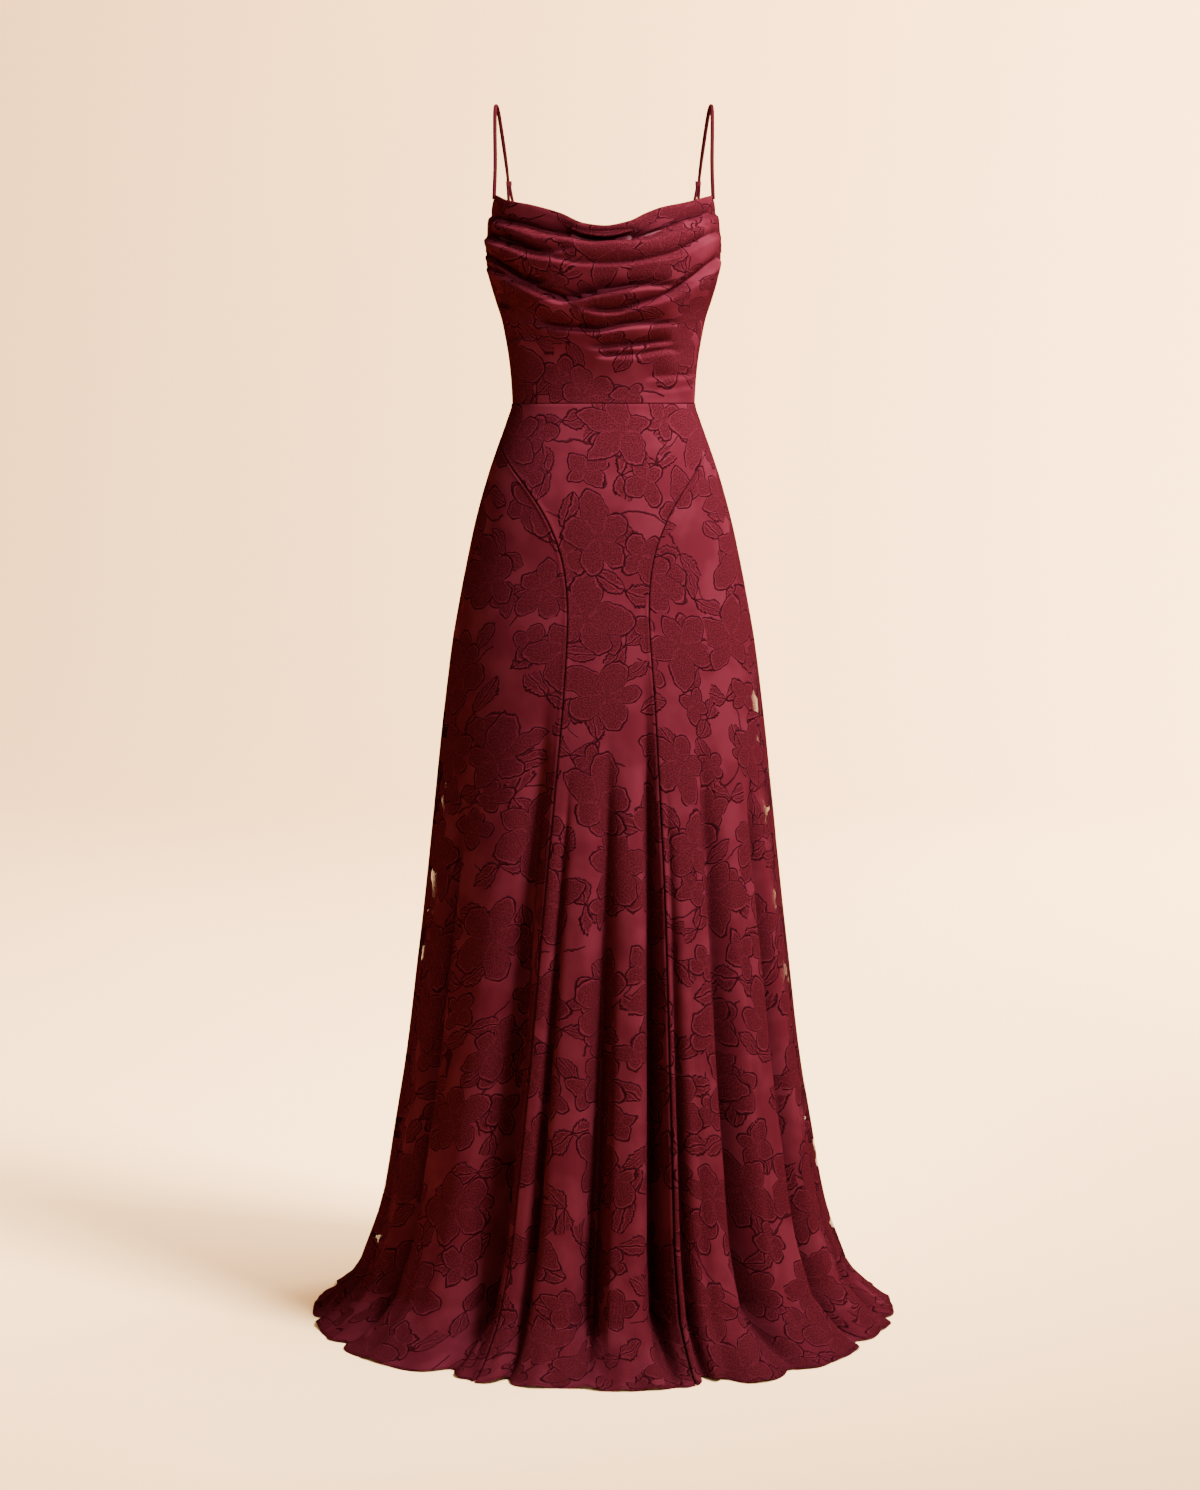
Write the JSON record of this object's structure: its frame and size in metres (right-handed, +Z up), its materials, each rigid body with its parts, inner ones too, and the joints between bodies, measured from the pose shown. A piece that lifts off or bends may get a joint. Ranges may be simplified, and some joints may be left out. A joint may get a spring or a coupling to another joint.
{
  "type": "cowl-neck maxi dress",
  "caption": "Floor-length burgundy burnout-floral dress with cowl neck, thin adjustable straps, curved skirt seams and a back zip.",
  "frame": {"origin": "midway between the tops of the two shoulder straps, where the wearer's shoulders carry the dress", "axes": "+Z up, -Y towards the front of the dress, +X towards the wearer's left; the hem is at about z = -1.54 m"},
  "size_m": [0.7526, 0.7522, 1.5396],
  "materials": {
    "burnout_cloth": "matte blossoms on a sheer satin ground",
    "satin_lining": "satin",
    "strap_cloth": "satin",
    "enamelled_metal": "enamelled burgundy"
  },
  "bodies": {
    "dress": {"skirt_front_centre": "burnout_cloth", "skirt_front_side_left": "burnout_cloth", "skirt_front_side_right": "burnout_cloth", "skirt_back_side_left": "burnout_cloth", "skirt_back_side_right": "burnout_cloth", "skirt_back_centre_left": "burnout_cloth", "skirt_back_centre_right": "burnout_cloth", "lining_skirt_front": "satin_lining", "lining_skirt_back_left": "satin_lining", "lining_skirt_back_right": "satin_lining", "bodice_front": "burnout_cloth", "bodice_back_left": "burnout_cloth", "bodice_back_right": "burnout_cloth", "lining_bodice_front": "satin_lining", "lining_bodice_back_left": "satin_lining", "lining_bodice_back_right": "satin_lining", "strap_left": "strap_cloth", "strap_right": "strap_cloth", "slider_left": "enamelled_metal", "slider_right": "enamelled_metal", "strap_loop_left": "strap_cloth", "strap_loop_right": "strap_cloth", "zip": "strap_cloth", "zip_slider": "enamelled_metal"},
    "pull_tab": {"zip_pull": "enamelled_metal"}
  },
  "joints": [
    {"name": "zip_pull_swing", "type": "hinge", "parent": "dress", "child": "pull_tab", "pos_m": [0, 0.10308, -0.1737], "axis": [1, 0, 0], "range_deg": [0, 150]}
  ]
}
